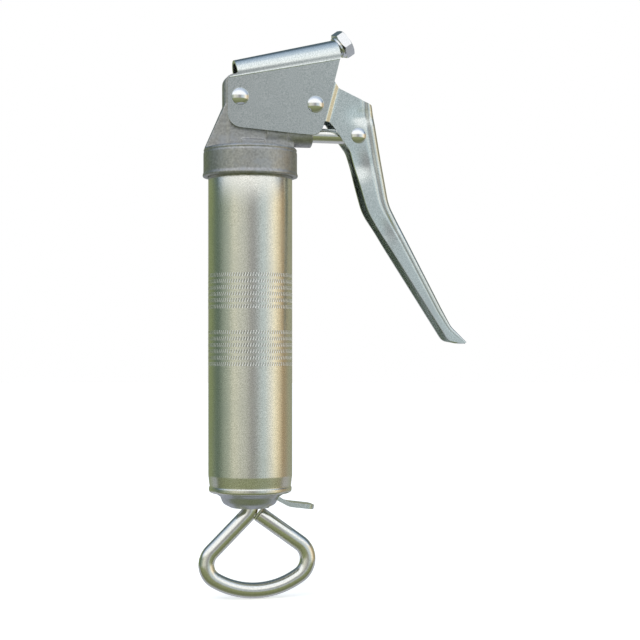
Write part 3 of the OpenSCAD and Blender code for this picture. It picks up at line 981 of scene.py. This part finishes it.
# ---- CAD nodes that stay ----
CAD_FINISH = {
    "barrel_gasket": RUBBER,
    "plunger_seal": RUBBER,
    "follower_cup": RUBBER,
    "cap_bush": BRASS,
    "valve_seat": BRASS,
    "check_ball": POLISHED,
    "check_spring": SPRING_STEEL,
    "outlet_tube": PART_ZINC,
    "rod_guide": PART_ZINC,
    "gland_nut": BRIGHT_STEEL,
    "head_washers": PART_ZINC,
    "fulcrum_washers": PART_ZINC,
    "follower_plate": PART_ZINC,
    "follower_washer": PART_ZINC,
    "follower_nut": PART_ZINC,
    "latch_spring": SPRING_STEEL,
    "return_spring": SPRING_STEEL,
    "follower_spring": SPRING_STEEL,
}


def finish_cad_nodes():
    """Gives the CAD nodes that stay their materials."""
    for name, material in CAD_FINISH.items():
        obj = frame["nodes"][name]
        if not obj.material_slots:
            obj.data.materials.append(material)
        for slot in obj.material_slots:
            slot.material = material


# ---- Studio ----
VIEW_TURN = math.radians(13.0)
CAMERA_DISTANCE = 1002.0
CAMERA_SIDE = 47.4
CAMERA_Z = 100.0


def camera():
    """A level camera turned a little to the gun's right, like the one that took the photograph."""
    data = bpy.data.cameras.new("camera")
    data.lens = 82.9
    data.sensor_width = 36.0
    data.shift_y = 0.042
    data.clip_start, data.clip_end = 0.01, 30.0
    obj = link("camera", data)
    ahead = Vector((math.sin(VIEW_TURN), math.cos(VIEW_TURN), 0))
    right = Vector((math.cos(VIEW_TURN), -math.sin(VIEW_TURN), 0))
    obj.location = (-CAMERA_DISTANCE * ahead + CAMERA_SIDE * right + Vector((0, 0, CAMERA_Z))) * MM
    obj.rotation_euler = (math.pi / 2, 0, -VIEW_TURN)
    bpy.context.scene.camera = obj


def area_light(name, where, target, size, energy, colour):
    """A soft light that no metal mirrors, with its place, target and size in metres."""
    data = bpy.data.lights.new(name, "AREA")
    data.shape = "RECTANGLE"
    data.size, data.size_y = size
    data.energy = energy
    data.color = colour
    obj = link(name, data)
    obj.location = where
    obj.visible_glossy = False
    obj.rotation_mode = "QUATERNION"
    obj.rotation_quaternion = (Vector(target) - Vector(where)).to_track_quat("-Z", "Y")


# Colours round the horizon, by the angle from the camera's side, positive to the right
HORIZON = [
    (-180, (0.30, 0.32, 0.24)),
    (-136, (0.25, 0.30, 0.15)),
    (-96, (0.13, 0.18, 0.14)),
    (-62, (0.40, 0.45, 0.38)),
    (-42, (0.74, 0.74, 0.63)),
    (-15, (0.62, 0.63, 0.58)),
    (10, (0.36, 0.36, 0.37)),
    (40, (0.62, 0.71, 0.75)),
    (64, (0.95, 0.93, 0.86)),
    (70, (1.15, 1.07, 0.84)),
    (88, (0.86, 0.72, 0.50)),
    (104, (0.40, 0.30, 0.18)),
    (136, (0.38, 0.38, 0.27)),
    (180, (0.30, 0.32, 0.24)),
]
# Colours over the top, by the angle from the camera's horizon through the zenith to the far horizon
OVERHEAD = [
    (0, (1.0, 1.01, 1.02)),
    (26, (1.16, 1.17, 1.18)),
    (56, (1.10, 1.14, 1.20)),
    (78, (0.66, 0.76, 0.90)),
    (104, (0.38, 0.48, 0.62)),
    (120, (0.09, 0.13, 0.17)),
    (150, (0.12, 0.17, 0.19)),
    (168, (0.50, 0.53, 0.53)),
    (180, (0.60, 0.61, 0.60)),
]
# Colours below, by the angle down from the camera's horizon through the nadir to the far horizon
UNDERFOOT = [
    (0, (0.40, 0.42, 0.32)),
    (18, (0.27, 0.30, 0.16)),
    (50, (0.18, 0.20, 0.11)),
    (70, (0.24, 0.26, 0.19)),
    (84, (0.47, 0.49, 0.54)),
    (150, (0.50, 0.52, 0.57)),
    (180, (0.40, 0.42, 0.38)),
]
BACKDROP = (1.0, 1.0, 1.0)


def colour_stops(tree, share, stops, span, start):
    """A soft ramp of colours given at angles."""
    made = node(tree, "ShaderNodeValToRGB", {"Fac": share})
    made.color_ramp.interpolation = "EASE"
    found = made.color_ramp.elements
    while len(found) > 1:
        found.remove(found[-1])
    for i, (angle, colour) in enumerate(stops):
        at = (angle - start) / span
        stop = found[0] if i == 0 else found.new(at)
        stop.position = at
        stop.color = (*colour, 1)
    return made.outputs["Color"]


def world():
    """A plain pale backdrop to the camera, with soft panels round it for the metal to reflect."""
    made = bpy.data.worlds.new("studio")
    made.use_nodes = True
    tree = made.node_tree
    background = tree.nodes["Background"]
    way = node(tree, "ShaderNodeTexCoord").outputs["Generated"]
    axes = node(tree, "ShaderNodeSeparateXYZ", {0: way}).outputs
    turned = math_node(tree, "ARCTAN2", axes["X"], math_node(tree, "MULTIPLY", axes["Y"], -1.0))
    turned = math_node(tree, "ADD", turned, VIEW_TURN)
    turned = node(tree, "ShaderNodeMath", {0: turned, 1: math.pi, 2: -math.pi}, operation="WRAP").outputs[0]
    share = math_node(tree, "ADD", math_node(tree, "DIVIDE", turned, 2 * math.pi), 0.5)
    panels = colour_stops(tree, share, HORIZON, 360, -180)
    front = math_node(tree, "MULTIPLY", axes["X"], -math.sin(VIEW_TURN))
    front = math_node(tree, "SUBTRACT", front, math_node(tree, "MULTIPLY", axes["Y"], math.cos(VIEW_TURN)))
    over = math_node(tree, "DIVIDE", math_node(tree, "ARCTAN2", axes["Z"], front), math.pi)
    overhead = colour_stops(tree, over, OVERHEAD, 180, 0)
    colour = blend_colour(tree, ramp(tree, axes["Z"], 0.19, 0.44), panels, overhead)
    down = math_node(tree, "MULTIPLY", axes["Z"], -1.0)
    down = math_node(tree, "ARCTAN2", down, math_node(tree, "ADD", front, 0.3))
    under = colour_stops(tree, math_node(tree, "DIVIDE", down, math.pi), UNDERFOOT, 180, 0)
    colour = blend_colour(tree, ramp(tree, axes["Z"], -0.09, -0.28), colour, under)
    seen = node(tree, "ShaderNodeLightPath").outputs["Is Camera Ray"]
    colour = blend_colour(tree, seen, colour, BACKDROP)
    tree.links.new(colour, background.inputs["Color"])
    background.inputs["Strength"].default_value = 1.0
    bpy.context.scene.world = made


def floor():
    """A plain pale floor under the loop handle."""
    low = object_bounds()[0].z
    bm = bmesh.new()
    bmesh.ops.create_circle(bm, cap_ends=True, segments=96, radius=6.0)
    obj = from_bmesh("floor", bm)
    obj.location.z = low - 0.5 * MM
    material, _, shader = new_material("pale_floor")
    shader.inputs["Base Color"].default_value = (0.9, 0.9, 0.9, 1)
    shader.inputs["Roughness"].default_value = 0.9
    shader.inputs["Emission Color"].default_value = (1, 1, 1, 1)
    shader.inputs["Emission Strength"].default_value = 0.6
    obj.data.materials.append(material)
    obj.visible_glossy = False
    obj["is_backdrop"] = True


# ---- Build ----
camera()
head_casting()
barrel()
end_cap()
rod_latch()
yoke_link()
domed_rivet("rivet_head_end", HEAD_PIN, 3.0, 2 * cheek_y(HEAD_PIN), 5.8, 2.9, "link", "head_rivet")
domed_rivet("rivet_fulcrum", FULCRUM_PIN, 3.0, 2 * cheek_y(FULCRUM_PIN), 5.7, 2.9, "link", "fulcrum_rivet")
domed_rivet("rivet_plunger", PLUNGER_PIN, 2.5, 15.7, 5.35, 2.7, "lever", "plunger_rivet")
lever()
plunger()
pull_rod()
outlet_fitting()
finish_cad_nodes()
world()
floor()
area_light("key", (-0.9, -1.3, 1.5), (0, 0, 0.15), (1.2, 1.2), 10, (1.0, 0.99, 0.97))
bpy.context.scene.view_settings.view_transform = "Standard"
